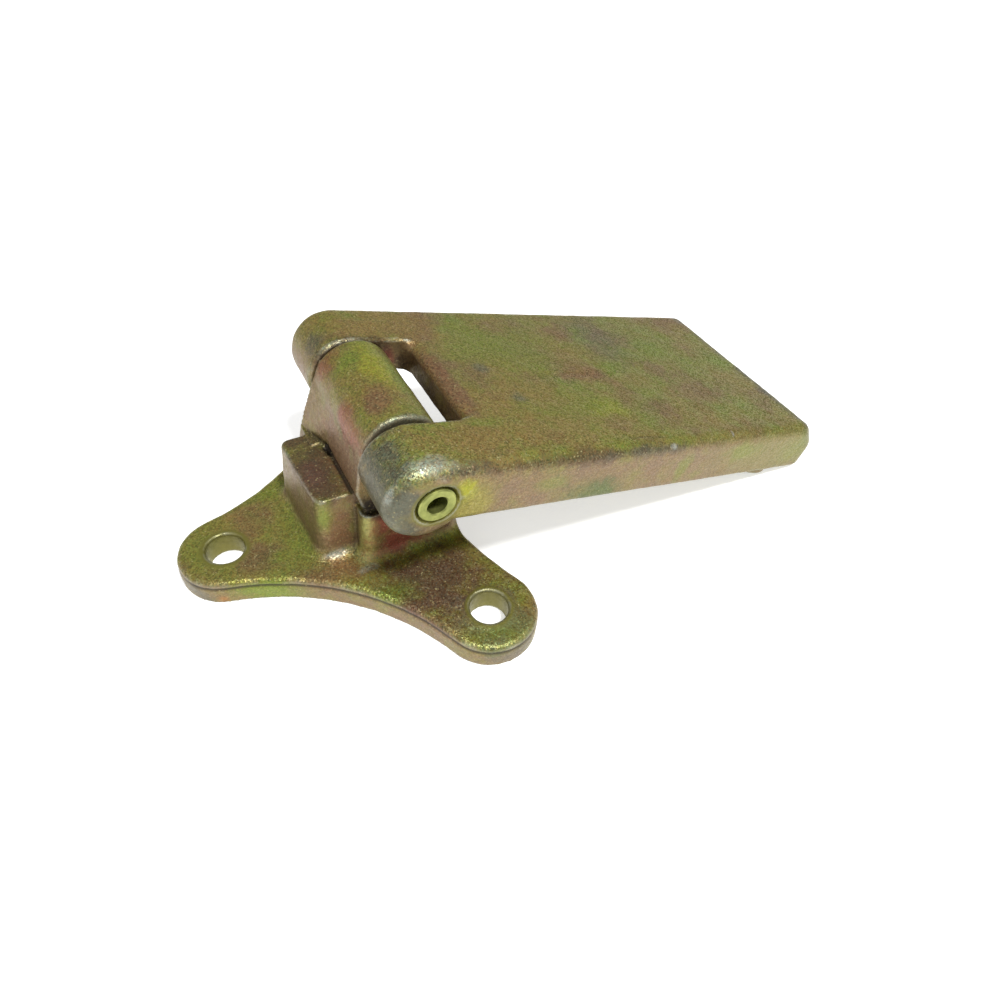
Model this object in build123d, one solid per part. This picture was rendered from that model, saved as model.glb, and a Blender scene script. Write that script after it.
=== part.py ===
from build123d import *
import math
import os

# Car door hinge: a three-lobed body bracket and a broad forked door leaf, joined by one pin.
# Millimetres. The bracket's mounting face lies on Z = 0, the pin runs along Y above the
# origin, and the leaf reaches out towards +X and slopes down until its tip bosses touch Z = 0.

# Body bracket: mounting plate
PLATE_THICKNESS = 7.0
PLATE_EDGE_ROUND = 1.8
FRONT_LOBE_X = -43.0
FRONT_LOBE_RADIUS = 11.9
SIDE_LOBE_X = 9.3
SIDE_LOBE_Y = 44.3
SIDE_LOBE_RADIUS = 12.3
FRONT_WAIST_RADIUS = 62.7
BACK_WAIST_RADIUS = 98.0
BOLT_HOLE_RADIUS = 4.75
BOLT_HOLE_CHAMFER = 0.4

# Body bracket: pedestal and stop block, drafted like every forged wall
PEDESTAL_HEIGHT = 21.5
PEDESTAL_FRONT_X = -11.8
PEDESTAL_BACK_X = 13.1
PEDESTAL_WIDTH = 36.0
PEDESTAL_CORNER_ROUND = 2.6
PEDESTAL_DRAFT = 4.0
STOP_HEIGHT = 25.0
STOP_FRONT_X = -21.8
STOP_FRONT_SKEW = 4.0
STOP_WIDTH = 25.2
STOP_CENTRE_Y = 0.6
STOP_CORNER_ROUND = 2.4
STOP_TOP_ROUND = 0.8
STOP_DRAFT = 5.5
ROOT_ROUND = 3.4

# Body bracket: knuckle and the neck that carries it
PIN_HEIGHT = 37.0
KNUCKLE_RADIUS = 10.2
KNUCKLE_CENTRE_X = -0.5
KNUCKLE_LENGTH = 32.6
KNUCKLE_SIDE_PLAY = 0.4
KNUCKLE_EDGE_ROUND = 1.1
NECK_FRONT_X = -12.3
NECK_BACK_X = 10.6
NECK_SHOULDER_RISE = 6.1
NECK_FOOT_X = -11.4
NECK_FOOT_RISE = 2.7
NECK_FOOT_ROUND = 3.4
NECK_FLANK_BULGE = 0.2
NECK_FLANK_ANGLE = 24.0
NECK_EDGE_CHAMFER = 0.4

# Body bracket: the neck's front flank flares out to a buttress at its far end
BUTTRESS_START_Y = 5.0
BUTTRESS_FRONT_X = -15.8
BUTTRESS_SHOULDER_RISE = 3.6
BUTTRESS_FLANK_BULGE = 0.4
BUTTRESS_FLANK_ANGLE = 40.0

# Door leaf
LEAF_LENGTH = 136.0
LEAF_WIDTH = 68.6
LEAF_TOP = 9.7
LEAF_BOTTOM = 5.8
LEAF_EDGE_ROUND = 3.6
LEAF_UNDER_ROUND = 1.5
LEAF_CORNER_RADIUS = 7.5
TIP_SHOULDER_ROUND = 4.2
TIP_BEVEL_SETBACK = 9.5
TIP_BEVEL_ANGLE = 45.0
TIP_TOE_ROUND = 4.2
TIP_END_TRIM = 0.1
WEB_THICKNESS = 9.0
POCKET_START_X = 10.5
POCKET_END_SETBACK = 17.0
POCKET_RIM = 7.0
POCKET_CORNER_ROUND = 6.0
POCKET_DRAFT = 5.0
EAR_RADIUS = 10.2
EAR_CENTRE_X = -1.5
EAR_SIDE_GAP = 0.7
EAR_INNER_CHAMFER = 0.8
WINDOW_TOP_X = 13.3
WINDOW_BOTTOM_X = 15.1
WINDOW_CORNER_ROUND = 3.0

# Bosses under the leaf, each with a blind tapped hole for a door bolt
BOSS_RADIUS = 7.0
BOSS_DROP = 2.6
BOSS_EDGE_CHAMFER = 0.8
TIP_BOSS_SETBACK = 20.5
TIP_BOSS_Y = 26.0
ROOT_BOSS_X = 52.0
TAP_RADIUS = 3.4
TAP_DEPTH = 13.0
TAP_CHAMFER = 0.5

# Pin, pressed into both ears, and the two bushes that are pressed into the knuckle
PIN_RADIUS = 4.5
PIN_STAND_OUT = 0.2
PIN_DRILL_RADIUS = 2.4
PIN_DRILL_DEPTH = 10.0
PIN_EDGE_CHAMFER = 0.3
SPOTFACE_RADIUS = 5.2
SPOTFACE_DEPTH = 0.8
BUSH_WALL = 1.1
BUSH_LENGTH = 13.5
PIN_CLEARANCE = 0.04
PRESS_DEPTH = 0.01

# Sizes that follow from the ones above
SLOT_HALF = KNUCKLE_LENGTH / 2 + EAR_SIDE_GAP
KNUCKLE_NEAR_Y = KNUCKLE_SIDE_PLAY - KNUCKLE_LENGTH / 2
KNUCKLE_FAR_Y = KNUCKLE_SIDE_PLAY + KNUCKLE_LENGTH / 2
NECK_FOOT_HEIGHT = PEDESTAL_HEIGHT + NECK_FOOT_RISE
TIP_BEVEL_TOP_X = LEAF_LENGTH - TIP_BEVEL_SETBACK
POCKET_END_X = LEAF_LENGTH - POCKET_END_SETBACK
TIP_BOSS_X = LEAF_LENGTH - TIP_BOSS_SETBACK
EAR_CENTRE_Z = LEAF_TOP - EAR_RADIUS
BOSS_FACE = LEAF_BOTTOM + BOSS_DROP
BUSH_RADIUS = PIN_RADIUS + PIN_CLEARANCE + BUSH_WALL
SNUG = 0.001


def touch_point(centre, radius, towards):
    """Point on a circle in the direction of another point."""
    reach = math.dist(centre, towards)
    return tuple(c + (t - c) * radius / reach for c, t in zip(centre, towards))


def waist_centre(lobe_a, radius_a, lobe_b, radius_b, waist):
    """Centre of the hollow arc that touches two lobes, on the right going from a to b."""
    span = math.dist(lobe_a, lobe_b)
    reach_a, reach_b = radius_a + waist, radius_b + waist
    along = (reach_a**2 - reach_b**2 + span**2) / (2 * span)
    across = math.sqrt(reach_a**2 - along**2)
    ex, ey = (lobe_b[0] - lobe_a[0]) / span, (lobe_b[1] - lobe_a[1]) / span
    return (lobe_a[0] + along * ex + across * ey, lobe_a[1] + along * ey - across * ex)


def plate_outline():
    """Three round lobes joined by hollow arcs, each tangent to its neighbours."""
    front = ((FRONT_LOBE_X, 0.0), FRONT_LOBE_RADIUS)
    near = ((SIDE_LOBE_X, -SIDE_LOBE_Y), SIDE_LOBE_RADIUS)
    far = ((SIDE_LOBE_X, SIDE_LOBE_Y), SIDE_LOBE_RADIUS)
    lobes = [front, near, far]
    waists = [FRONT_WAIST_RADIUS, BACK_WAIST_RADIUS, FRONT_WAIST_RADIUS]
    centres = [
        waist_centre(*lobes[i], *lobes[(i + 1) % 3], waists[i]) for i in range(3)
    ]
    hub = tuple(sum(place) / 3 for place in zip(*(lobe for lobe, _ in lobes)))
    edges = []
    for i, (lobe, radius) in enumerate(lobes):
        before, after = centres[i - 1], centres[i]
        start, end = touch_point(lobe, radius, before), touch_point(lobe, radius, after)
        crown = touch_point(lobe, -radius, hub)
        edges.append(ThreePointArc(start, crown, end))
        next_lobe, next_radius = lobes[(i + 1) % 3]
        next_start = touch_point(next_lobe, next_radius, after)
        middle = tuple((e + n) / 2 for e, n in zip(end, next_start))
        edges.append(ThreePointArc(end, touch_point(after, waists[i], middle), next_start))
    return make_face(Curve() + edges)


def pedestal_top():
    """Plan of the pedestal's top face."""
    middle = (PEDESTAL_FRONT_X + PEDESTAL_BACK_X) / 2
    length = PEDESTAL_BACK_X - PEDESTAL_FRONT_X
    return Pos(middle, 0) * RectangleRounded(length, PEDESTAL_WIDTH, PEDESTAL_CORNER_ROUND)


def stop_top():
    """Plan of the stop block's top face, skewed and round-cornered at the front."""
    slant = math.tan(math.radians(STOP_FRONT_SKEW))
    near, far = STOP_CENTRE_Y - STOP_WIDTH / 2, STOP_CENTRE_Y + STOP_WIDTH / 2
    front = [(STOP_FRONT_X - slant * y, y) for y in (near, far)]
    plan = make_face(Polyline(front[0], (0, near), (0, far), front[1], close=True))
    return fillet(plan.vertices().sort_by(Axis.X)[:2], STOP_CORNER_ROUND)


def rooted_block(plan, top, draft, top_round=0.0):
    """Drafted block that grows out of a wide plate with a root round."""
    block = extrude(Pos(0, 0, top) * plan, -top, taper=-draft)
    if top_round:
        block = fillet(block.edges().group_by(Axis.Z)[-1], top_round)
    blank_side = 3 * (SIDE_LOBE_Y + SIDE_LOBE_RADIUS)
    block += extrude(Rectangle(blank_side, blank_side), PLATE_THICKNESS)
    level = block.edges().filter_by_position(
        Axis.Z, PLATE_THICKNESS - SNUG, PLATE_THICKNESS + SNUG
    )
    root = [edge for edge in level if edge.length < blank_side - SNUG]
    return fillet(root, ROOT_ROUND)


def on_outline(edge, rim):
    """True where the whole edge stands straight above the plate's rim."""
    points = [edge @ along for along in (0, 0.5, 1)]
    return all(rim.distance_to(Vector(p.X, p.Y, 0)) < SNUG for p in points)


def neck_profile(front_x, shoulder_rise, foot_x, bulge, flank_angle):
    """Section of the neck: a bulged front flank, a tangent back flank and a round foot."""
    angle = math.radians(flank_angle)
    knuckle = (KNUCKLE_CENTRE_X, PIN_HEIGHT)
    shoulder = (front_x, PEDESTAL_HEIGHT + shoulder_rise)
    crown = (
        knuckle[0] - KNUCKLE_RADIUS * math.cos(angle),
        knuckle[1] + KNUCKLE_RADIUS * math.sin(angle),
    )
    chord = math.dist(shoulder, crown)
    lean = ((crown[0] - shoulder[0]) / chord, (crown[1] - shoulder[1]) / chord)
    belly = (
        (shoulder[0] + crown[0]) / 2 - bulge * lean[1],
        (shoulder[1] + crown[1]) / 2 + bulge * lean[0],
    )
    back_foot = (NECK_BACK_X, NECK_FOOT_HEIGHT)
    fan = math.acos(KNUCKLE_RADIUS / math.dist(knuckle, back_foot))
    turn = math.atan2(back_foot[1] - knuckle[1], back_foot[0] - knuckle[0]) + fan
    back_touch = (
        knuckle[0] + KNUCKLE_RADIUS * math.cos(turn),
        knuckle[1] + KNUCKLE_RADIUS * math.sin(turn),
    )
    base = PEDESTAL_HEIGHT - NECK_FOOT_ROUND
    front_foot = (foot_x, NECK_FOOT_HEIGHT)
    heel = (foot_x + NECK_FOOT_ROUND, PEDESTAL_HEIGHT)
    return make_face(
        Curve() + [
            ThreePointArc(shoulder, belly, crown),
            Line(crown, back_touch),
            Line(back_touch, back_foot),
            Line(back_foot, (NECK_BACK_X, base)),
            Line((NECK_BACK_X, base), (heel[0], base)),
            Line((heel[0], base), heel),
            TangentArc(front_foot, heel, tangent=(0, -1)),
            Line(front_foot, shoulder),
        ]
    )


def neck():
    """Even from its near end to the buttress, and there flared out to its far end."""
    even = neck_profile(
        NECK_FRONT_X, NECK_SHOULDER_RISE, NECK_FOOT_X, NECK_FLANK_BULGE, NECK_FLANK_ANGLE
    )
    setback = NECK_FOOT_X - NECK_FRONT_X
    flared = neck_profile(
        BUTTRESS_FRONT_X, BUTTRESS_SHOULDER_RISE, BUTTRESS_FRONT_X + setback,
        BUTTRESS_FLANK_BULGE, BUTTRESS_FLANK_ANGLE,
    )
    start = Pos(0, BUTTRESS_START_Y, 0) * (Plane.XZ * even)
    straight = extrude(start, BUTTRESS_START_Y - KNUCKLE_NEAR_Y)
    near_end = straight.faces().sort_by(Axis.Y)[0]
    straight = chamfer(near_end.edges(), NECK_EDGE_CHAMFER)
    buttress = loft([start, Pos(0, KNUCKLE_FAR_Y, 0) * (Plane.XZ * flared)], ruled=True)
    return straight + buttress


def knuckle():
    """Barrel of the knuckle, set a little off the pin's axis as it was forged."""
    barrel = Rot(90, 0, 0) * Cylinder(KNUCKLE_RADIUS, KNUCKLE_LENGTH)
    barrel = Pos(KNUCKLE_CENTRE_X, KNUCKLE_SIDE_PLAY, PIN_HEIGHT) * barrel
    return fillet(barrel.edges().filter_by(GeomType.CIRCLE), KNUCKLE_EDGE_ROUND)


def bolt_hole(x, y):
    """Straight hole through the plate with a small chamfer at both mouths."""
    hole = Pos(x, y, PLATE_THICKNESS / 2) * Cylinder(BOLT_HOLE_RADIUS, PLATE_THICKNESS)
    wide = BOLT_HOLE_RADIUS + BOLT_HOLE_CHAMFER
    mouth = Cone(BOLT_HOLE_RADIUS, wide, BOLT_HOLE_CHAMFER)
    upper = Pos(x, y, PLATE_THICKNESS - BOLT_HOLE_CHAMFER / 2) * mouth
    lower = Pos(x, y, BOLT_HOLE_CHAMFER / 2) * Rot(180, 0, 0) * mouth
    return hole + upper + lower


def body_bracket():
    """One forging: lobed plate, pedestal, stop block, neck and bored knuckle."""
    outline = plate_outline()
    pedestal = rooted_block(pedestal_top(), PEDESTAL_HEIGHT, PEDESTAL_DRAFT)
    stop = rooted_block(stop_top(), STOP_HEIGHT, STOP_DRAFT, STOP_TOP_ROUND)
    body = ((pedestal + stop) & extrude(outline, PIN_HEIGHT)).solid()
    rim = outline.face().outer_wire()
    upper_edges = [
        edge for edge in body.edges()
        if on_outline(edge, rim)
        and edge.bounding_box().min.Z > PLATE_THICKNESS / 2
        and edge.bounding_box().min.Z < PEDESTAL_HEIGHT - SNUG
    ]
    body = fillet(upper_edges, PLATE_EDGE_ROUND)
    body += neck() + knuckle()
    for x, y in (
        (FRONT_LOBE_X, 0.0), (SIDE_LOBE_X, SIDE_LOBE_Y), (SIDE_LOBE_X, -SIDE_LOBE_Y)
    ):
        body -= bolt_hole(x, y)
    bore = Rot(90, 0, 0) * Cylinder(BUSH_RADIUS - PRESS_DEPTH, KNUCKLE_LENGTH)
    return body - Pos(0, KNUCKLE_SIDE_PLAY, PIN_HEIGHT) * bore


def tapped_hole(x, y):
    """Blind hole up into the leaf from a boss face, with its mouth chamfered."""
    bore = Cylinder(TAP_RADIUS, TAP_DEPTH, align=(Align.CENTER, Align.CENTER, Align.MIN))
    mouth = Cone(
        TAP_RADIUS + TAP_CHAMFER, TAP_RADIUS, TAP_CHAMFER,
        align=(Align.CENTER, Align.CENTER, Align.MIN),
    )
    return Pos(x, y, -BOSS_FACE) * (bore + mouth)


def boss(x, y):
    """Round pad that stands down from the web, chamfered at its lower rim."""
    pad = extrude(Pos(x, y, -BOSS_FACE) * Circle(BOSS_RADIUS), BOSS_FACE + LEAF_TOP / 2)
    return chamfer(pad.edges().group_by(Axis.Z)[0], BOSS_EDGE_CHAMFER)


def leaf_profile():
    """Side view of the leaf, bevelled at the tip; the outline trims the end of its round toe."""
    end = LEAF_LENGTH + TIP_END_TRIM
    run = (end - TIP_BEVEL_TOP_X) * math.tan(math.radians(TIP_BEVEL_ANGLE))
    shoulder = (TIP_BEVEL_TOP_X, LEAF_TOP)
    nose = (end, LEAF_TOP - run)
    toe = (end, -LEAF_BOTTOM)
    profile = make_face(
        Polyline(
            (EAR_CENTRE_X, -LEAF_BOTTOM), toe, nose, shoulder, (EAR_CENTRE_X, LEAF_TOP), close=True
        )
    )
    corners = profile.vertices()
    profile = fillet(corners.sort_by_distance((*toe, 0))[:1], TIP_TOE_ROUND)
    return fillet(profile.vertices().sort_by_distance((*shoulder, 0))[:1], TIP_SHOULDER_ROUND)


def underside_pocket():
    """Hollow under the leaf, between its rim and the web, with drafted walls."""
    length = POCKET_END_X - POCKET_START_X
    mouth = RectangleRounded(length, LEAF_WIDTH - 2 * POCKET_RIM, POCKET_CORNER_ROUND)
    depth = LEAF_TOP + LEAF_BOTTOM - WEB_THICKNESS
    return extrude(
        Pos(POCKET_START_X + length / 2, 0, -LEAF_BOTTOM) * mouth, depth, taper=POCKET_DRAFT
    )


def leaf_plate():
    """Broad leaf with round tip corners and a heavy round on its upper edges."""
    length = LEAF_LENGTH - EAR_CENTRE_X
    outline = Pos(EAR_CENTRE_X + length / 2, 0) * Rectangle(length, LEAF_WIDTH)
    outline = fillet(outline.vertices().group_by(Axis.X)[-1], LEAF_CORNER_RADIUS)
    slab = extrude(Pos(0, 0, -LEAF_BOTTOM) * outline, LEAF_BOTTOM + LEAF_TOP)
    slab &= extrude(Plane.XZ * leaf_profile(), LEAF_WIDTH, both=True)
    upper = [
        edge for edge in slab.edges()
        if abs((edge @ 0.5).Y) > LEAF_WIDTH / 2 - LEAF_CORNER_RADIUS
        and (edge @ 0.5).X > 0 and (edge @ 0.5).Z > 0 and abs((edge % 0.5).Z) < 1 - SNUG
    ]
    slab = fillet(upper, LEAF_EDGE_ROUND)
    sides = [
        edge for edge in slab.edges().filter_by(Axis.X)
        if (edge @ 0.5).X > 0 and abs((edge @ 0.5).Z + LEAF_BOTTOM) < SNUG
    ]
    slab = fillet(sides, LEAF_UNDER_ROUND)
    return slab - underside_pocket()


def ear(side):
    """Round ear about the pin, domed on its outer side."""
    width = LEAF_WIDTH / 2 - SLOT_HALF
    drum = Rot(90, 0, 0) * Cylinder(EAR_RADIUS, width)
    drum = Pos(EAR_CENTRE_X, side * (SLOT_HALF + width / 2), EAR_CENTRE_Z) * drum
    outer = drum.edges().filter_by(GeomType.CIRCLE).sort_by(Axis.Y)
    return fillet(outer[-1] if side > 0 else outer[0], LEAF_EDGE_ROUND)


def fork_slot():
    """The gap for the knuckle, closed by the window's slanted wall with round corners."""
    reach = EAR_RADIUS * 2
    slant = (WINDOW_BOTTOM_X - WINDOW_TOP_X) / WEB_THICKNESS
    upper_x = WINDOW_TOP_X - slant * (reach - LEAF_TOP)
    lower_x = WINDOW_TOP_X + slant * (reach + LEAF_TOP)
    section = make_face(
        Polyline(
            (-reach, -reach), (lower_x, -reach), (upper_x, reach), (-reach, reach), close=True
        )
    )
    slot = extrude(Plane.XZ * section, SLOT_HALF, both=True)
    corners = [
        edge for edge in slot.edges()
        if (edge @ 0.5).X > 0 and edge.bounding_box().size.Z > reach
    ]
    return fillet(corners, WINDOW_CORNER_ROUND)


def ear_inner_edges(leaf):
    """The two round inner edges of the ears, beside the knuckle."""
    return [
        edge for edge in leaf.edges().filter_by(GeomType.CIRCLE)
        if edge.length > math.pi * EAR_RADIUS and abs(abs((edge @ 0.5).Y) - SLOT_HALF) < SNUG
    ]


def door_leaf():
    """One forging: broad leaf with two ears, three bosses and the fork slot between."""
    leaf = (leaf_plate() + ear(1) + ear(-1) - fork_slot()).solid()
    leaf = chamfer(ear_inner_edges(leaf), EAR_INNER_CHAMFER)
    boss_places = ((TIP_BOSS_X, TIP_BOSS_Y), (TIP_BOSS_X, -TIP_BOSS_Y), (ROOT_BOSS_X, 0.0))
    for x, y in boss_places:
        leaf += boss(x, y)
    for x, y in boss_places:
        leaf -= tapped_hole(x, y)
    leaf -= Rot(90, 0, 0) * Cylinder(PIN_RADIUS - PRESS_DEPTH, LEAF_WIDTH)
    ring = Circle(SPOTFACE_RADIUS) - Circle(PIN_RADIUS - PRESS_DEPTH)
    for side in (1, -1):
        face = Plane(origin=(0, side * LEAF_WIDTH / 2, 0), z_dir=(0, -side, 0))
        leaf -= extrude(face * ring, SPOTFACE_DEPTH)
    return leaf


def hinge_pin():
    """Plain round pin with a drilled hole in each end."""
    half = LEAF_WIDTH / 2 + PIN_STAND_OUT
    pin = Cylinder(PIN_RADIUS, 2 * half)
    pin -= Pos(0, 0, half - PIN_DRILL_DEPTH / 2) * Cylinder(PIN_DRILL_RADIUS, PIN_DRILL_DEPTH)
    pin -= Pos(0, 0, PIN_DRILL_DEPTH / 2 - half) * Cylinder(PIN_DRILL_RADIUS, PIN_DRILL_DEPTH)
    ends = pin.edges().filter_by(GeomType.CIRCLE).group_by(Axis.Z)
    pin = chamfer(ends[0] + ends[-1], PIN_EDGE_CHAMFER)
    return Rot(90, 0, 0) * pin


def bush(side):
    """Plain bearing bush, flush with the end of the knuckle."""
    sleeve = Cylinder(BUSH_RADIUS, BUSH_LENGTH) - Cylinder(PIN_RADIUS + PIN_CLEARANCE, BUSH_LENGTH)
    place = KNUCKLE_SIDE_PLAY + side * (KNUCKLE_LENGTH - BUSH_LENGTH) / 2
    return Pos(0, place, PIN_HEIGHT) * Rot(90, 0, 0) * sleeve


def leaf_slope():
    """Slope in degrees at which the rims of the tip bosses just touch Z = 0."""
    along = TIP_BOSS_X + BOSS_RADIUS - BOSS_EDGE_CHAMFER
    reach = math.hypot(along, BOSS_FACE)
    return math.degrees(math.asin(PIN_HEIGHT / reach) - math.atan2(BOSS_FACE, along))


resting = Pos(0, 0, PIN_HEIGHT) * Rot(0, leaf_slope(), 0)
parts = {
    "body_bracket": body_bracket(),
    "door_leaf": resting * door_leaf(),
    "hinge_pin": resting * hinge_pin(),
    "knuckle_bush_near": bush(-1),
    "knuckle_bush_far": bush(1),
}
os.makedirs("parts", exist_ok=True)
for name, part in parts.items():
    export_step(part, f"parts/{name}.step")
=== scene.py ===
import math

import bmesh
import bpy
import numpy as np
from mathutils import Matrix, Vector


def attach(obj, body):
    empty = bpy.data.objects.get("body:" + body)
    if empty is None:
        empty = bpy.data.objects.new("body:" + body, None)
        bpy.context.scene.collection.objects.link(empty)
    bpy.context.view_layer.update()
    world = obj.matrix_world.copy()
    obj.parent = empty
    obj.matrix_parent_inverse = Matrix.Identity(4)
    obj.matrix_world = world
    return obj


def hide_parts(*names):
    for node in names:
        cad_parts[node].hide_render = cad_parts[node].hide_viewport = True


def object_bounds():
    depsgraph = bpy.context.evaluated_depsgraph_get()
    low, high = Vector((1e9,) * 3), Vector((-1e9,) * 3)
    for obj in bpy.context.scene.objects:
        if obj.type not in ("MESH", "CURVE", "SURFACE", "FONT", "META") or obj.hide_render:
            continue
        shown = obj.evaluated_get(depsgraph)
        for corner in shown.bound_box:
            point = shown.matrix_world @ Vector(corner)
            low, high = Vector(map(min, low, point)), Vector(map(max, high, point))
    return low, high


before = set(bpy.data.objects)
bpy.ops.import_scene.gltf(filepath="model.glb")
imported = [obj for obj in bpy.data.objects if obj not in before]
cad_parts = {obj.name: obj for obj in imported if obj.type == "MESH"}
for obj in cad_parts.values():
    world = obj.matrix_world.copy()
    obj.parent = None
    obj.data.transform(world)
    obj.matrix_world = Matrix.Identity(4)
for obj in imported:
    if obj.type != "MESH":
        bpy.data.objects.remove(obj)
cad_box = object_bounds()


# ---- Studio ----
# A pale floor under the bracket's plate and a bright, even room, with a small high lamp a
# little before the hinge and a soft one on its left. The camera looks down on the pin's near end.
FLOOR_REACH = 3.0
FLOOR_GAP = 0.00005
FLOOR_COLOUR = (0.86, 0.86, 0.85, 1)
FLOOR_GLOW = 0.58
WHITE = (1, 1, 1, 1)
ROOM_LIGHT = 0.40
LAMPS = (  # name, place, width, watts
    ("lamp_high", (0.07, -0.34, 0.78), 0.12, 6.2),
    ("lamp_left", (-0.60, -0.30, 0.45), 0.5, 0.8),
)
LAMP_AIM = Vector((0.02, 0, 0.02))
CAMERA_PLACE = (-0.042041, -0.123365, 0.141637)
CAMERA_TURN = (41.73823, -3.75769, -27.86165)  # degrees
CAMERA_LENS = 24.187  # mm, as the sensor's width
CAMERA_SENSOR = 36
CAMERA_SHIFT = (0.009166, 0.025014)
CAMERA_NEAREST = 0.005


def add(tree, kind, inputs=None, **settings):
    """One node with its settings; each input is a value or the socket that feeds it."""
    made = tree.nodes.new(kind)
    for name, value in settings.items():
        setattr(made, name, value)
    for name, value in (inputs or {}).items():
        if isinstance(value, bpy.types.NodeSocket):
            tree.links.new(value, made.inputs[name])
        else:
            made.inputs[name].default_value = value
    return made


def reckon(tree, operation, first, second=0.0):
    """The result of one Math node."""
    return add(tree, "ShaderNodeMath", {0: first, 1: second}, operation=operation).outputs[0]


def seen_directly(tree):
    """1 on what the camera, a mirror image or a clear part shows, 0 on light that bounces."""
    path = add(tree, "ShaderNodeLightPath")
    shown = reckon(tree, "MAXIMUM", path.outputs["Is Camera Ray"], path.outputs["Is Glossy Ray"])
    return reckon(tree, "MAXIMUM", shown, path.outputs["Is Transmission Ray"])


def empty_material(name):
    """A material with a bare tree and its output node."""
    material = bpy.data.materials.new(name)
    material.use_nodes = True
    material.node_tree.nodes.clear()
    return material, material.node_tree, add(material.node_tree, "ShaderNodeOutputMaterial")


def linked(name, data):
    """A new object in the scene."""
    made = bpy.data.objects.new(name, data)
    bpy.context.scene.collection.objects.link(made)
    return made


floor_mesh = bpy.data.meshes.new("studio_floor")
floor_mesh.from_pydata(
    [
        (-FLOOR_REACH, -FLOOR_REACH, 0), (FLOOR_REACH, -FLOOR_REACH, 0),
        (FLOOR_REACH, FLOOR_REACH, 0), (-FLOOR_REACH, FLOOR_REACH, 0),
    ],
    [], [(0, 1, 2, 3)],
)
floor_mesh.transform(Matrix.Translation((0, 0, cad_box[0].z - FLOOR_GAP)))
floor = linked("studio_floor", floor_mesh)
floor_paint, tree, result = empty_material("floor_paint")
matt = add(tree, "ShaderNodeBsdfDiffuse", {"Color": FLOOR_COLOUR})
glow = add(
    tree, "ShaderNodeEmission",
    {"Color": WHITE, "Strength": reckon(tree, "MULTIPLY", seen_directly(tree), FLOOR_GLOW)},
)
both = add(tree, "ShaderNodeAddShader", {0: matt.outputs[0], 1: glow.outputs[0]})
tree.links.new(both.outputs[0], result.inputs["Surface"])
floor_mesh.materials.append(floor_paint)

room = bpy.data.worlds.new("white_room")
room.use_nodes = True
room.node_tree.nodes.clear()
air = add(room.node_tree, "ShaderNodeBackground", {"Color": WHITE, "Strength": ROOM_LIGHT})
add(room.node_tree, "ShaderNodeOutputWorld", {"Surface": air.outputs[0]})
bpy.context.scene.world = room

for name, place, width, watts in LAMPS:
    lamp = bpy.data.lights.new(name, "AREA")
    lamp.shape = "DISK"
    lamp.size = width
    lamp.energy = watts
    held = linked(name, lamp)
    held.location = place
    held.rotation_euler = (LAMP_AIM - held.location).to_track_quat("-Z", "Y").to_euler()

lens = bpy.data.cameras.new("camera")
lens.lens = CAMERA_LENS
lens.sensor_width = CAMERA_SENSOR
lens.shift_x, lens.shift_y = CAMERA_SHIFT
lens.clip_start = CAMERA_NEAREST
camera = linked("camera", lens)
camera.location = CAMERA_PLACE
camera.rotation_euler = [math.radians(part) for part in CAMERA_TURN]
bpy.context.scene.camera = camera
bpy.context.scene.view_settings.view_transform = "Standard"


# ---- Body bracket ----
# A steel forging that bolts to the body: three-lobed plate, stop block, neck and knuckle.
# It is shot-blasted, zinc-plated and dipped in yellow chromate, so its skin is soft and
# grainy, and the film runs from olive to brown and pink. Bolt holes and bore are drilled.
WELD = 1e-6  # points nearer than this are one
BRACKET_STEP = 0.00046  # width of the skin's faces
PLATE_TOP = 0.007
BLOCK_TOP = 0.025
PIN_HEIGHT = 0.037
PIN_GUARD = 0.0056  # radius kept smooth round the pin
BOLT_GUARD = 0.0056  # and round each bolt hole
GUARD_FADE = 0.0014  # from smooth to the full roughness
BOLT_PLACES = ((-0.043, 0.0), (0.0093, 0.0443), (0.0093, -0.0443))
COARSE_EDGE = 1.6  # where a coarse patch ends, as a share of its reach
SKIN_ONLY = 0.9  # a rim line is drawn only on skin at least this rough


def merged_copy(node, name):
    """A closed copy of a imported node, whose own mesh is loose triangles."""
    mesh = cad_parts[node].data.copy()
    mesh.materials.clear()
    shell = bmesh.new()
    shell.from_mesh(mesh)
    bmesh.ops.remove_doubles(shell, verts=shell.verts, dist=WELD)
    shell.to_mesh(mesh)
    shell.free()
    return linked(name, mesh)


def plain_mesh(piece):
    """Puts the piece's evaluated shape in its own mesh and takes its modifiers off."""
    graph = bpy.context.evaluated_depsgraph_get()
    made = bpy.data.meshes.new_from_object(
        piece.evaluated_get(graph), preserve_all_data_layers=True, depsgraph=graph
    )
    piece.modifiers.clear()
    piece.data = made


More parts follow.
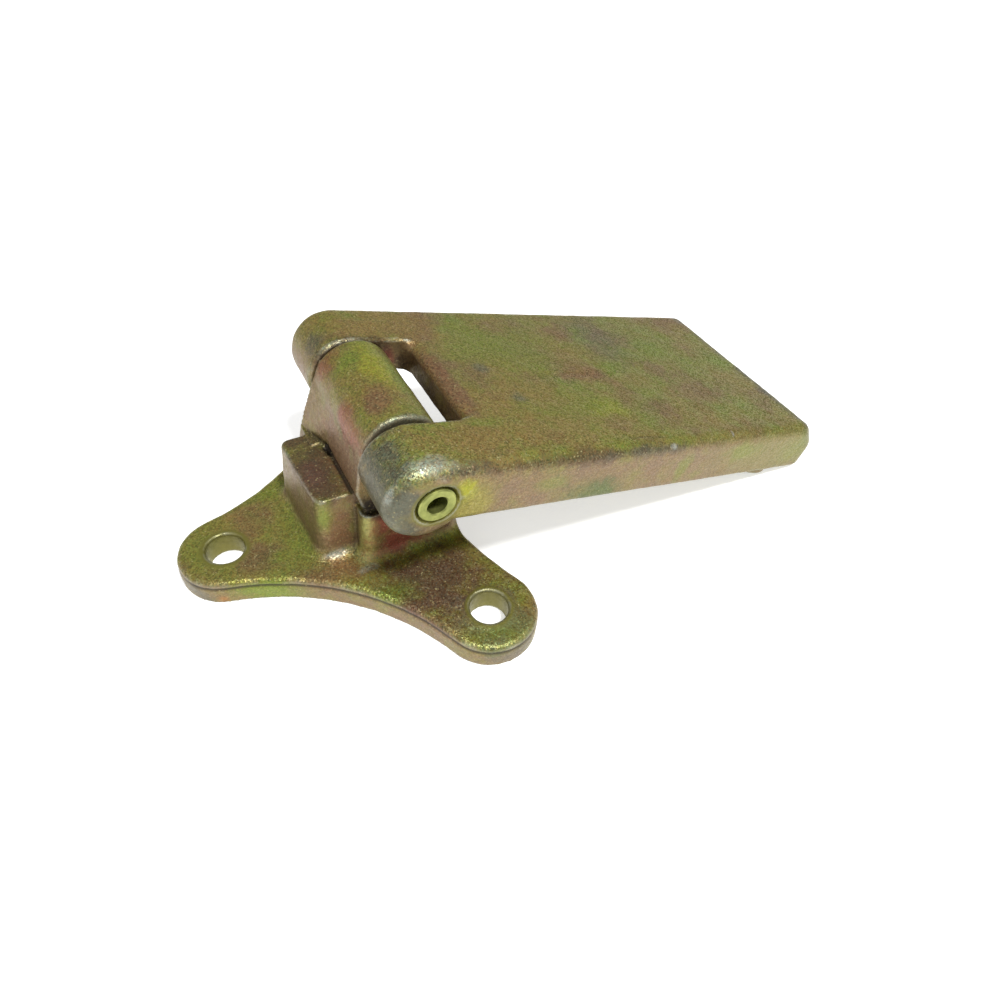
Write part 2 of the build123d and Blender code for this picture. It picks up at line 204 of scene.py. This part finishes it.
def even_skin(node, name, step, swell=None):
    """A copy of a forging's surface in small even faces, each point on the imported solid.

    A swell is one more block of the same forging, given as the outline of its side and its
    two ends along Y.
    """
    true, piece = merged_copy(node, name + "_true"), merged_copy(node, name)
    if swell:
        outline, ends = swell
        block = bmesh.new()
        face = block.faces.new([block.verts.new((x, ends[0], z)) for x, z in outline])
        pulled = bmesh.ops.extrude_face_region(block, geom=[face])["geom"]
        far = [part for part in pulled if isinstance(part, bmesh.types.BMVert)]
        bmesh.ops.translate(block, verts=far, vec=(0, ends[1] - ends[0], 0))
        bmesh.ops.recalc_face_normals(block, faces=block.faces)
        extra = bpy.data.meshes.new("swell")
        block.to_mesh(extra)
        block.free()
        for shell in (true, piece):
            whole = bmesh.new()
            whole.from_mesh(shell.data)
            whole.from_mesh(extra)
            whole.to_mesh(shell.data)
            whole.free()
        bpy.data.meshes.remove(extra)
    even = piece.modifiers.new("even", "REMESH")
    even.mode = "VOXEL"
    even.voxel_size = step
    even.adaptivity = 0
    wrap = piece.modifiers.new("wrap", "SHRINKWRAP")
    wrap.target = true
    wrap.wrap_method = "NEAREST_SURFACEPOINT"
    plain_mesh(piece)
    bpy.data.objects.remove(true)
    return piece


def own_points(mesh, turn):
    """A mesh's points in the piece's own axes."""
    points = np.empty(len(mesh.vertices) * 3, np.float32)
    mesh.vertices.foreach_get("co", points)
    turn = np.array(turn)
    return points.reshape(-1, 3) @ turn[:3, :3].T + turn[:3, 3]


def line_places(points, start, end, low=-math.inf, high=math.inf):
    """How far each point lies along a line, from 0 to 1 between its ends, and how far off it."""
    start, run = np.array(start), np.array(end) - np.array(start)
    share = np.clip((points - start) @ run / (run @ run), low, high)
    return share, np.linalg.norm(points - start - np.outer(share, run), axis=1)


def skin_map(piece, turn, cuts, coarse, grooves, rims=()):
    """Stores how rough the skin is and how deep its grooves are, in the piece's own axes.

    Each machined cut is a start, an end and a radius, and stays smooth. Each coarse patch is
    a centre, a reach along X, Y and Z, and an amount. Each groove is a start, an end, a width
    and a depth, and a ridge has a depth below 0. Each rim line is a height, a width, a depth.
    """
    points = own_points(piece.data, turn)
    rough = np.ones(len(points))
    for centre, reach, amount in coarse:
        away = np.linalg.norm((points - np.array(centre)) / np.array(reach), axis=1)
        rough += amount * np.clip(COARSE_EDGE - away, 0, 1)
    for start, end, radius in cuts:
        share, away = line_places(points, start, end)
        fade = np.clip((away - radius) / GUARD_FADE, 0, 1)
        rough *= np.where((share < 0) | (share > 1), 1, fade)
    sink = np.zeros(len(points))
    for start, end, width, depth in grooves:
        away = line_places(points, start, end, 0, 1)[1]
        sink += depth * np.exp(-((away / width) ** 2))
    for height, width, depth in rims:
        sink += depth * np.exp(-(((points[:, 2] - height) / width) ** 2)) * (rough > SKIN_ONLY)
    for name, values in (("rough", rough), ("sink", sink)):
        piece.data.attributes.new(name, "FLOAT", "POINT").data.foreach_set(
            "value", values.astype(np.float32)
        )


def band(tree, value, low, high, to_low=0.0, to_high=1.0, course="LINEAR"):
    """A value spread from one pair of limits to another, and clamped."""
    return add(
        tree, "ShaderNodeMapRange",
        {"Value": value, "From Min": low, "From Max": high, "To Min": to_low, "To Max": to_high},
        interpolation_type=course,
    ).outputs[0]


def vector(tree, operation, first, second=(0, 0, 0), output="Vector"):
    """The result of one Vector Math node; a length or dot product is its output Value."""
    return add(
        tree, "ShaderNodeVectorMath", {0: first, 1: second}, operation=operation
    ).outputs[output]


def scaled(tree, arrow, factor):
    """A vector times a number."""
    return add(
        tree, "ShaderNodeVectorMath", {0: arrow, "Scale": factor}, operation="SCALE"
    ).outputs[0]


SEED_SHIFT = 0.37
LUMP_SPREAD = (0.25, 0.75)


def forged_skin_tree():
    """Geometry Nodes for a blasted forging: lumps and ripples sunk into the surface, and the
    crest and face values that the plating material reads."""
    tree = bpy.data.node_groups.new("forged_skin", "GeometryNodeTree")
    tree.is_modifier = True
    sockets = {}
    for name, kind, value in (
        ("Geometry", "NodeSocketGeometry", None),
        ("Lump size", "NodeSocketFloat", 0.006),
        ("Lump depth", "NodeSocketFloat", 0.00016),
        ("Ripple size", "NodeSocketFloat", 0.0017),
        ("Ripple depth", "NodeSocketFloat", 0.00006),
        ("Crest reach", "NodeSocketInt", 6),
        ("Crest height", "NodeSocketFloat", 0.00022),
        ("Seed", "NodeSocketFloat", 0.0),
        ("Finish", "NodeSocketMaterial", None),
    ):
        socket = tree.interface.new_socket(name=name, in_out="INPUT", socket_type=kind)
        sockets[name] = socket.identifier
        if value is not None:
            socket.default_value = value
    tree.interface.new_socket(name="Geometry", in_out="OUTPUT", socket_type="NodeSocketGeometry")
    given = add(tree, "NodeGroupInput").outputs
    rough, sink = (
        add(
            tree, "GeometryNodeInputNamedAttribute", {"Name": name}, data_type="FLOAT"
        ).outputs[0]
        for name in ("rough", "sink")
    )
    place = add(tree, "GeometryNodeInputPosition").outputs[0]
    moved = vector(tree, "ADD", place, reckon(tree, "MULTIPLY", given["Seed"], SEED_SHIFT))
    depths = []
    for size, depth in (("Lump size", "Lump depth"), ("Ripple size", "Ripple depth")):
        noise = add(
            tree, "ShaderNodeTexNoise",
            {"Vector": moved, "Scale": reckon(tree, "DIVIDE", 1.0, given[size]),
             "Detail": 2.0, "Roughness": 0.5},
        ).outputs[0]
        depths.append(reckon(tree, "MULTIPLY", band(tree, noise, *LUMP_SPREAD), given[depth]))
    depth = reckon(tree, "MULTIPLY", reckon(tree, "ADD", *depths), rough)
    depth = reckon(tree, "ADD", depth, sink)
    normal = add(tree, "GeometryNodeInputNormal").outputs[0]
    offset = scaled(tree, normal, reckon(tree, "MULTIPLY", depth, -1.0))
    shaped = add(
        tree, "GeometryNodeSetPosition", {"Geometry": given["Geometry"], "Offset": offset}
    ).outputs[0]
    blurred = add(
        tree, "GeometryNodeBlurAttribute", {"Value": place, "Iterations": given["Crest reach"]},
        data_type="FLOAT_VECTOR",
    ).outputs[0]
    stand = vector(tree, "SUBTRACT", place, blurred)
    stand = vector(tree, "DOT_PRODUCT", stand, normal, "Value")
    crest = reckon(tree, "DIVIDE", stand, given["Crest height"])
    up = add(tree, "ShaderNodeSeparateXYZ", {0: normal}).outputs
    for name, value in (("crest", crest), ("face_up", up["Z"])):
        shaped = add(
            tree, "GeometryNodeStoreNamedAttribute",
            {"Geometry": shaped, "Name": name, "Value": value},
            data_type="FLOAT", domain="POINT",
        ).outputs[0]
    shaped = add(tree, "GeometryNodeSetShadeSmooth", {"Geometry": shaped}).outputs[0]
    shaped = add(tree, "GeometryNodeRealizeInstances", {"Geometry": shaped}).outputs[0]
    shaped = add(
        tree, "GeometryNodeSetMaterial", {"Geometry": shaped, "Material": given["Finish"]}
    ).outputs[0]
    add(tree, "NodeGroupOutput", {0: shaped})
    return tree, sockets


forged_skin, skin_sockets = forged_skin_tree()


def forge(piece, finish, **sizes):
    """Gives an even skin its lumps and its material, and leaves a plain mesh."""
    skin = piece.modifiers.new("forged_skin", "NODES")
    skin.node_group = forged_skin
    for name, value in sizes.items():
        skin[skin_sockets[name.replace("_", " ").capitalize()]] = value
    skin[skin_sockets["Finish"]] = finish
    plain_mesh(piece)


def noise_at(tree, place, size, detail=2.0, roughness=0.5, low=0.3, high=0.7):
    """A noise of a given patch size in metres, spread over 0 to 1."""
    noise = add(
        tree, "ShaderNodeTexNoise",
        {"Vector": place, "Scale": 1 / size, "Detail": detail, "Roughness": roughness},
    )
    return band(tree, noise.outputs[0], low, high)


def blend_in(tree, base, colour, amount, mode="MIX"):
    """One colour over another, by an amount from 0 to 1."""
    mixed = add(
        tree, "ShaderNodeMix", {"Factor": amount}, data_type="RGBA", blend_type=mode
    )
    for socket, value in ((mixed.inputs[6], base), (mixed.inputs[7], colour)):
        if isinstance(value, bpy.types.NodeSocket):
            tree.links.new(value, socket)
        else:
            socket.default_value = value
    return mixed.outputs[2]


BLOT_RAG = 0.8
BLOT_HEART = 0.6
BLOT_RIM = 1.5


def blot(tree, place, centre, reach, ragged):
    """A soft mask with a ragged rim: 1 at its centre, 0 past its reach along X, Y and Z."""
    away = vector(tree, "DIVIDE", vector(tree, "SUBTRACT", place, centre), reach)
    away = vector(tree, "LENGTH", away, output="Value")
    away = reckon(tree, "ADD", away, reckon(tree, "MULTIPLY", ragged, BLOT_RAG))
    return band(tree, away, BLOT_HEART, BLOT_RIM, 1.0, 0.0, "SMOOTHSTEP")


def linear(red, green, blue):
    """A shader colour from a colour as it shows on a screen, 0 to 255."""
    return tuple(
        (part / 255 / 12.92 if part < 10 else ((part / 255 + 0.055) / 1.055) ** 2.4)
        for part in (red, green, blue)
    ) + (1.0,)


OLIVE = linear(134, 132, 64)
GOLD = linear(146, 123, 66)
GREEN = linear(122, 138, 50)
LIME = linear(174, 172, 102)
YELLOW = linear(160, 158, 52)
BROWN = linear(132, 100, 72)
PURPLE = linear(112, 78, 70)
RED = linear(146, 80, 64)
ORANGE = linear(168, 110, 58)
UMBER = linear(92, 74, 56)
PINK = linear(134, 111, 84)
ZINC = linear(176, 177, 164)
SLATE = linear(98, 98, 82)
BORED = linear(122, 118, 52)
# a very dark brown: painted shade and shadow in recesses, grooves and under the ear, and darker
# concave hollows
DEEP_BROWN = linear(44, 36, 28)
PAINTED_GLINT = linear(218, 204, 148)
SECOND_PLACE = (0.31, 0.12, 0.57)  # where the second set of noises is read
GOLD_SIZE = 0.019
PATCHES = ((GREEN, 0.012, 0.42, 0.66), (BROWN, 0.016, 0.5, 0.7))  # tone, size, noise from, to
PATCH_STRENGTH = 0.7
RAG_SIZE = 0.006
# each band is a value's two limits and the amounts that they give
SIDE_BAND = (0.3, 0.75, 1.0, 0.0)
PINK_BAND = (0.9, 0.2, 0.5, 1.0)
BORED_BAND = (0.1, 0.6, 0.85, 0.0)
UNEVEN_BAND = (0.2, 0.8, 0.6, 1.4)
WEAR_AND_SHEEN_BAND = (0.35, 1.3, 0.0, 0.6)
HOLLOW_BAND = (-0.2, -0.9, 0.0, 0.5)
SUNK_SHADE_BAND = (0.00005, 0.0003, 0.0, 0.9)
SIDE_GRIT_BAND = (0.0, 1.0, 1.0, 0.5)
EVEN_BAND = (0.0, 1.0, -0.5, 0.5)
PAINTED_GLINT_BAND = (0.95, 1.0, 0.0, 0.45)
ROUGH_BAND = (0.0, 1.0, 0.34, 0.5)
GRIT_SIZE = 0.00034
GRIT_MOST = 1.2
GRIT_TILT = 0.32
FLECK_LIGHT = 0.75
FLECK_TINT = (0.22, -0.06, -0.2)
DULL_SIZE = 0.0011
SAND_SIZE = 0.0005
WAVE_SIZE = 0.0022
WAVE_HEIGHT = 1.4  # against the sand's
RELIEF_DEPTH = 0.00006
RELIEF_STRENGTH = 0.6
PLATED_METALLIC = 0.6


def plating(name, turn, blots):
    """Yellow chromate on a blasted forging, with painted highlights, glints, shade and shadow in
    its colour.

    Each blot is a colour, a place, a reach along X, Y and Z, and a strength.
    """
    material, tree, result = empty_material(name)
    place = add(tree, "ShaderNodeTexCoord").outputs["Object"]
    place = add(
        tree, "ShaderNodeMapping",
        {"Vector": place, "Location": turn.to_translation(), "Rotation": turn.to_euler()},
    ).outputs[0]
    crest, up, coarse, sink = (
        add(
            tree, "ShaderNodeAttribute", attribute_name=name, attribute_type="GEOMETRY"
        ).outputs["Fac"]
        for name in ("crest", "face_up", "rough", "sink")
    )
    other = add(tree, "ShaderNodeMapping", {"Vector": place, "Location": SECOND_PLACE}).outputs[0]
    colour = blend_in(tree, OLIVE, GOLD, noise_at(tree, place, GOLD_SIZE, 3.0))
    for tone, size, low, high in PATCHES:
        patch = noise_at(tree, other, size, 3.0, 0.6, low, high)
        colour = blend_in(tree, colour, tone, reckon(tree, "MULTIPLY", patch, PATCH_STRENGTH))
    ragged = noise_at(tree, other, RAG_SIZE, 4.0, 0.65)
    # upright faces take a pink tint: partly the film's own colour, partly a painted reflection of
    # the bright room
    side = band(tree, reckon(tree, "ABSOLUTE", up), *SIDE_BAND)
    pink = reckon(tree, "MULTIPLY", side, band(tree, ragged, *PINK_BAND))
    colour = blend_in(tree, colour, PINK, pink)
    for tone, centre, reach, strength in blots:
        mask = blot(tree, place, centre, reach, ragged)
        colour = blend_in(tree, colour, tone, reckon(tree, "MULTIPLY", mask, strength))
    # convex edges are lightened towards zinc: partly worn film, partly a painted highlight along
    # edges and rims
    wear_and_sheen = reckon(tree, "MULTIPLY", crest, band(tree, ragged, *UNEVEN_BAND))
    for tone, value, limits in (
        (BORED, coarse, BORED_BAND), (ZINC, wear_and_sheen, WEAR_AND_SHEEN_BAND),
        # concave hollows are darkened, and the grooves and the rim line take painted shade
        (DEEP_BROWN, crest, HOLLOW_BAND), (DEEP_BROWN, sink, SUNK_SHADE_BAND),
    ):
        colour = blend_in(tree, colour, tone, band(tree, value, *limits))
    grit = add(
        tree, "ShaderNodeTexVoronoi", {"Vector": place, "Scale": 1 / GRIT_SIZE},
        voronoi_dimensions="3D", feature="F1",
    ).outputs["Color"]
    shade = add(tree, "ShaderNodeSeparateColor", {0: grit}).outputs
    gritty = reckon(tree, "MULTIPLY", coarse, band(tree, side, *SIDE_GRIT_BAND))
    gritty = reckon(tree, "MINIMUM", gritty, GRIT_MOST)
    light = reckon(tree, "MULTIPLY", band(tree, shade[0], *EVEN_BAND), FLECK_LIGHT)
    warm = band(tree, shade[1], *EVEN_BAND)
    tints = [
        reckon(tree, "ADD", light, reckon(tree, "MULTIPLY", warm, tint)) for tint in FLECK_TINT
    ]
    fleck = add(
        tree, "ShaderNodeCombineColor",
        {
            channel: reckon(tree, "ADD", 1.0, reckon(tree, "MULTIPLY", gritty, tint))
            for channel, tint in enumerate(tints)
        },
    ).outputs[0]
    colour = blend_in(tree, colour, fleck, 1.0, "MULTIPLY")
    # the brightest grit cells are lifted to a pale gold: painted glints
    painted_glints = reckon(tree, "MULTIPLY", band(tree, shade[2], *PAINTED_GLINT_BAND), gritty)
    colour = blend_in(tree, colour, PAINTED_GLINT, painted_glints)
    rough = band(tree, noise_at(tree, other, DULL_SIZE, 3.0, 0.6), *ROUGH_BAND)
    sand = noise_at(tree, place, SAND_SIZE, 3.0, 0.65)
    waves = noise_at(tree, other, WAVE_SIZE)
    height = reckon(tree, "ADD", sand, reckon(tree, "MULTIPLY", waves, WAVE_HEIGHT))
    relief = add(
        tree, "ShaderNodeBump",
        {"Strength": RELIEF_STRENGTH, "Distance": RELIEF_DEPTH, "Height": height},
    ).outputs[0]
    lean = vector(tree, "SUBTRACT", grit, (0.5, 0.5, 0.5))
    lean = scaled(tree, lean, reckon(tree, "MULTIPLY", gritty, GRIT_TILT))
    facet = vector(tree, "NORMALIZE", vector(tree, "ADD", relief, lean))
    skin = add(
        tree, "ShaderNodeBsdfPrincipled",
        {
            "Base Color": colour, "Metallic": PLATED_METALLIC, "Roughness": rough,
            "Normal": facet,
        },
    )
    tree.links.new(skin.outputs[0], result.inputs["Surface"])
    return material


upright = Matrix.Identity(4)
bracket_plating = plating(
    "bracket_plating", upright,
    (
        (GREEN, (-0.048, 0.003, PLATE_TOP), (0.009, 0.012, 0.009), 0.6),
        (BROWN, (-0.034, 0.007, PLATE_TOP), (0.007, 0.008, 0.004), 0.5),
        (PURPLE, (-0.036, -0.007, PLATE_TOP), (0.008, 0.006, 0.004), 0.5),
        (GREEN, (-0.034, 0.015, PLATE_TOP), (0.012, 0.004, 0.004), 0.6),
        (GREEN, (-0.025, -0.004, PLATE_TOP), (0.005, 0.012, 0.003), 0.5),
        (BROWN, (-0.026, -0.019, PLATE_TOP), (0.012, 0.007, 0.003), 0.6),
        (PURPLE, (0.000, -0.034, PLATE_TOP), (0.018, 0.015, 0.003), 0.75),
        (UMBER, (0.001, -0.030, PLATE_TOP), (0.014, 0.012, 0.003), 0.45),
        (GREEN, (0.007, -0.053, PLATE_TOP), (0.014, 0.007, 0.004), 0.6),
        (GREEN, (-0.012, -0.031, PLATE_TOP), (0.010, 0.004, 0.004), 0.6),
        (SLATE, (0.010, -0.048, PLATE_TOP), (0.016, 0.012, 0.003), 0.5),
        (GREEN, (-0.036, -0.0145, 0.003), (0.018, 0.007, 0.006), 0.85),
        (SLATE, (-0.053, -0.006, 0.003), (0.005, 0.010, 0.004), 0.6),
        (ORANGE, (-0.047, -0.0112, 0.0015), (0.0018, 0.002, 0.0018), 0.6),
        (SLATE, (0.012, -0.056, 0.003), (0.014, 0.006, 0.004), 0.5),
        (UMBER, (-0.017, 0.0, BLOCK_TOP), (0.011, 0.024, 0.003), 0.85),
        (PURPLE, (-0.018, -0.002, BLOCK_TOP), (0.004, 0.006, 0.002), 0.5),
        (BROWN, (-0.016, -0.0125, 0.015), (0.006, 0.002, 0.009), 0.9),
        (GREEN, (-0.0205, -0.0125, 0.0205), (0.004, 0.003, 0.007), 0.7),
        (LIME, (-0.0114, -0.0175, 0.0155), (0.0040, 0.004, 0.020), 1.0),
        (RED, (-0.002, -0.0187, 0.015), (0.012, 0.004, 0.012), 0.95),
        # painted highlights on the root fillets of the block and the pedestal
        (ZINC, (-0.0195, -0.0140, 0.0080), (0.005, 0.0013, 0.0013), 0.6),
        (ZINC, (-0.0126, -0.0213, 0.0074), (0.003, 0.0012, 0.0012), 0.5),
        (BROWN, (-0.0117, -0.005, 0.031), (0.004, 0.017, 0.012), 0.85),
        (RED, (-0.0092, -0.0070, 0.041), (0.004, 0.009, 0.006), 0.55),
        (RED, (-0.008, 0.0125, 0.0435), (0.005, 0.005, 0.006), 0.6),
        (YELLOW, (0.0025, 0.005, 0.047), (0.005, 0.013, 0.005), 0.8),
        (GREEN, (0.006, -0.001, 0.045), (0.003, 0.011, 0.004), 0.7),
        (BROWN, (-0.003, -0.0075, 0.047), (0.006, 0.008, 0.005), 0.8),
        (SLATE, (0.000, -0.0157, 0.046), (0.012, 0.0017, 0.008), 0.8),
        # painted shade on the neck's near end, a painted shadow in the hole beside it, and
        # painted shade on the root under the ear
        (UMBER, (-0.0110, -0.0160, 0.0240), (0.0030, 0.0020, 0.0060), 0.8),
        (DEEP_BROWN, (-0.0080, -0.0164, 0.0235), (0.0060, 0.0030, 0.0045), 0.95),
        (DEEP_BROWN, (0.003, -0.0215, 0.0080), (0.013, 0.0030, 0.002), 0.6),
    ),
)
# the web between block and neck: its outline in X and Z, and its ends along the pin
GUSSET = (
    (-0.0157, 0.0254), (-0.0165, 0.0223), (-0.0170, 0.0060), (-0.0105, 0.0060), (-0.0105, 0.0254),
)
GUSSET_ENDS = (0.0080, 0.0166)
SLIT = ((-0.0119, -0.0125, 0.0251), (-0.0121, 0.0035, 0.0251), 0.0005, 0.00025)
PIT = ((-0.0122, 0.0038, 0.0252), (-0.0126, 0.0062, 0.0254), 0.0006, 0.0010)
RIM_LINE = (0.0051, 0.0005, 0.00032)
bracket = even_skin("body_bracket", "bracket_forging", BRACKET_STEP, (GUSSET, GUSSET_ENDS))
skin_map(
    bracket, upright,
    cuts=[((0, -0.03, PIN_HEIGHT), (0, 0.03, PIN_HEIGHT), PIN_GUARD)]
    + [((x, y, -0.001), (x, y, 0.009), BOLT_GUARD) for x, y in BOLT_PLACES],
    coarse=[((0, -0.036, PLATE_TOP), (0.02, 0.012, 0.003), 0.3)],
    grooves=[SLIT, PIT],
    rims=[RIM_LINE],
)
forge(bracket, bracket_plating, seed=3.0)
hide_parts("body_bracket")
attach(bracket, "bracket")


# ---- Door leaf ----
# The second forging, a broad flat plate forked round the knuckle, with the same finish.
# Three low bosses under it are tapped for the door's bolts, and its ears grip the pin.
LEAF_SLOPE = math.radians(13.7078)
LEAF_STEP = 0.00061
TAP_GUARD = 0.0042  # radius kept smooth round each tapped hole
TAP_PLACES = ((0.1155, 0.026), (0.1155, -0.026), (0.052, 0.0))
TOP = 0.0097  # the leaf's upper face, above the pin's middle line
NEAR = -0.0343  # its near side
MOSS = linear(98, 106, 60)

along_leaf = Matrix.Rotation(-LEAF_SLOPE, 4, "Y") @ Matrix.Translation((0, 0, -PIN_HEIGHT))
leaf_plating = plating(
    "leaf_plating", along_leaf,
    (
        (GREEN, (0.040, 0.012, TOP), (0.022, 0.016, 0.003), 0.6),
        (GREEN, (0.054, -0.017, TOP), (0.016, 0.006, 0.003), 0.7),
        (YELLOW, (0.056, -0.018, TOP), (0.009, 0.005, 0.003), 0.5),
        (GREEN, (0.096, 0.011, TOP), (0.010, 0.008, 0.003), 0.7),
        (SLATE, (0.077, 0.017, TOP), (0.013, 0.018, 0.003), 0.4),
        (BROWN, (0.064, 0.021, TOP), (0.007, 0.006, 0.003), 0.7),
        (BROWN, (0.088, 0.0, TOP), (0.007, 0.007, 0.003), 0.6),
        (BROWN, (0.095, -0.014, TOP), (0.014, 0.007, 0.003), 0.5),
        (SLATE, (0.028, 0.003, TOP), (0.003, 0.003, 0.002), 0.6),
        (SLATE, (0.032, -0.011, TOP), (0.003, 0.003, 0.002), 0.6),
        (BROWN, (0.056, -0.002, TOP), (0.012, 0.002, 0.002), 0.55),
        (GOLD, (0.012, 0.024, TOP), (0.016, 0.010, 0.004), 0.8),
        (GOLD, (0.012, -0.024, TOP), (0.018, 0.007, 0.004), 0.8),
        (BROWN, (0.016, -0.004, TOP), (0.003, 0.015, 0.003), 0.7),
        (SLATE, (0.006, -0.0335, 0.0085), (0.008, 0.003, 0.002), 0.6),
        (UMBER, (0.038, -0.0336, 0.0080), (0.050, 0.003, 0.0028), 0.65),
        (SLATE, (0.060, NEAR, 0.008), (0.020, 0.003, 0.002), 0.5),
        (SLATE, (0.1280, 0.0, 0.0080), (0.0060, 0.090, 0.008), 0.9),
        (BROWN, (0.0150, 0.0, 0.0085), (0.0030, 0.018, 0.003), 0.8),
        # painted shade on the window's front wall and in its far corner
        (DEEP_BROWN, (0.0145, 0.0, 0.0015), (0.0022, 0.019, 0.0050), 0.6),
        (RED, (0.0085, 0.0168, 0.0040), (0.0030, 0.0020, 0.0050), 0.8),
        (DEEP_BROWN, (0.0125, 0.0160, 0.0030), (0.0022, 0.0030, 0.0060), 0.6),
        (SLATE, (-0.0093, 0.0225, 0.006), (0.004, 0.006, 0.004), 0.6),
        (BROWN, (-0.0112, 0.0244, -0.0035), (0.004, 0.006, 0.004), 0.5),
        # painted shade along the far ear's inner chamfer, which dims the lamp's highlight there
        (DEEP_BROWN, (-0.002, 0.0170, 0.009), (0.020, 0.0019, 0.009), 0.7),
        (SLATE, (-0.0110, -0.027, 0.001), (0.008, 0.018, 0.016), 0.9),
        (SLATE, (-0.0085, NEAR, -0.004), (0.008, 0.007, 0.014), 0.9),
        (ZINC, (-0.0107, -0.0316, 0.0030), (0.0020, 0.0014, 0.0060), 0.7),
        # painted highlight on the near ear's rounded top above the pin
        (ZINC, (-0.0035, -0.0318, 0.0088), (0.007, 0.004, 0.004), 0.65),
        (YELLOW, (0.0055, NEAR, 0.0030), (0.0044, 0.003, 0.0042), 0.95),
        (YELLOW, (0.0084, NEAR, -0.0012), (0.007, 0.002, 0.009), 0.5),
        (MOSS, (0.0453, NEAR, -0.0036), (0.013, 0.002, 0.0060), 1.0),
        (GREEN, (0.030, NEAR, 0.002), (0.006, 0.002, 0.003), 0.4),
        (GREEN, (0.075, NEAR, 0.0), (0.003, 0.002, 0.007), 0.5),
        (GREEN, (0.098, NEAR, 0.004), (0.010, 0.002, 0.004), 0.6),
        (GREEN, (0.124, NEAR, 0.002), (0.010, 0.003, 0.008), 0.5),
        (OLIVE, (0.112, NEAR, 0.003), (0.030, 0.004, 0.012), 0.5),
        (ZINC, (0.0675, -0.0335, 0.0085), (0.0016, 0.0010, 0.0012), 0.6),
        (ZINC, (0.0912, -0.0325, 0.0092), (0.0008, 0.0022, 0.0012), 0.9),
    ),
)
WINDOW_X = 0.0133  # the front wall at the leaf's top, from the pin
WINDOW_SLANT = 0.116  # how far that wall runs towards the tip for each metre down
WINDOW_HALF = 0.017  # half the window's width along the pin
WINDOW_CORNER = 0.003
WINDOW_ROUND = 0.0040
WINDOW_FADE = 0.0012
SCRATCH = ((0.054, -0.0297, TOP), (0.066, -0.0307, TOP), 0.0005, 0.00016)
BURR = ((0.0062, NEAR, 0.0018), (0.0072, NEAR, 0.0030), 0.0010, -0.00035)


def roll_window_edge(piece, turn):
    """Rolls over the window's upper front edge, as the forging's trimming left it."""
    points = own_points(piece.data, turn)
    across = np.abs(points[:, 1])
    turned = np.clip(across - WINDOW_HALF + WINDOW_CORNER, 0, WINDOW_CORNER)
    wall = WINDOW_X - WINDOW_CORNER + np.sqrt(WINDOW_CORNER**2 - turned**2)
    back = wall + WINDOW_ROUND - points[:, 0] + WINDOW_SLANT * (TOP - points[:, 2])
    rise = points[:, 2] - (TOP - WINDOW_ROUND)
    reach = np.hypot(back, rise)
    outside = (back > 0) & (back < 2 * WINDOW_ROUND) & (rise > 0) & (reach > WINDOW_ROUND)
    share = outside * np.clip((WINDOW_HALF - across) / WINDOW_FADE, 0, 1)
    pull = share * (1 - WINDOW_ROUND / np.maximum(reach, WINDOW_ROUND))
    points[:, 0] += pull * back
    points[:, 2] -= pull * rise
    turn = np.array(turn)
    points = (points - turn[:3, 3]) @ turn[:3, :3]
    piece.data.vertices.foreach_set("co", points.astype(np.float32).ravel())
    piece.data.update()


leaf = even_skin("door_leaf", "leaf_forging", LEAF_STEP)
roll_window_edge(leaf, along_leaf)
skin_map(
    leaf, along_leaf,
    cuts=[((0, -0.04, 0), (0, 0.04, 0), PIN_GUARD)]
    + [((x, y, -0.009), (x, y, 0.005), TAP_GUARD) for x, y in TAP_PLACES],
    coarse=[
        ((0.056, -0.002, TOP), (0.011, 0.002, 0.002), 1.2),
        ((0.022, -0.031, 0.008), (0.030, 0.004, 0.003), 0.6),
        ((-0.004, -0.026, 0.008), (0.010, 0.008, 0.006), 0.3),
    ],
    grooves=[SCRATCH, BURR],
)
forge(leaf, leaf_plating, seed=8.0, crest_reach=4)
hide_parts("door_leaf")
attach(leaf, "leaf")


# ---- Hinge pin ----
# A turned steel pin, drilled up its middle at both ends and pressed into the leaf's ears.
# Its finish is the same yellow chromate, brighter and smoother than on the forgings.
PIN_PALE = linear(176, 180, 106)
PIN_DARK = linear(134, 140, 78)
PIN_PATCH = 0.0022
SCORE_SIZE = 0.0006
SCORE_STRETCH = (1, 0.1, 1)
SCORE_STRENGTH = 0.4
SCORE_DEPTH = 0.00003

pin_plating, tree, result = empty_material("pin_plating")
place = add(tree, "ShaderNodeTexCoord").outputs["Object"]
tone = blend_in(tree, PIN_PALE, PIN_DARK, noise_at(tree, place, PIN_PATCH, 3.0))
drawn = add(tree, "ShaderNodeMapping", {"Vector": place, "Scale": SCORE_STRETCH}).outputs[0]
relief = add(
    tree, "ShaderNodeBump",
    {
        "Strength": SCORE_STRENGTH, "Distance": SCORE_DEPTH,
        "Height": noise_at(tree, drawn, SCORE_SIZE),
    },
).outputs[0]
skin = add(
    tree, "ShaderNodeBsdfPrincipled",
    {"Base Color": tone, "Metallic": 0.85, "Roughness": 0.38, "Normal": relief},
)
tree.links.new(skin.outputs[0], result.inputs["Surface"])
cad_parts["hinge_pin"].material_slots[0].material = pin_plating


# ---- Knuckle bushes ----
# Two plain bronze bushes pressed into the ends of the knuckle, in which the pin turns.
# They are bored bronze, and only their thin end faces can be seen, between knuckle and ears.
BRONZE_PALE = linear(170, 128, 78)
BRONZE_DARK = linear(120, 86, 54)
BRONZE_PATCH = 0.002

bronze, tree, result = empty_material("bush_bronze")
place = add(tree, "ShaderNodeTexCoord").outputs["Object"]
tone = blend_in(tree, BRONZE_PALE, BRONZE_DARK, noise_at(tree, place, BRONZE_PATCH, 3.0))
skin = add(
    tree, "ShaderNodeBsdfPrincipled", {"Base Color": tone, "Metallic": 1.0, "Roughness": 0.4}
)
tree.links.new(skin.outputs[0], result.inputs["Surface"])
for name in ("knuckle_bush_near", "knuckle_bush_far"):
    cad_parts[name].material_slots[0].material = bronze
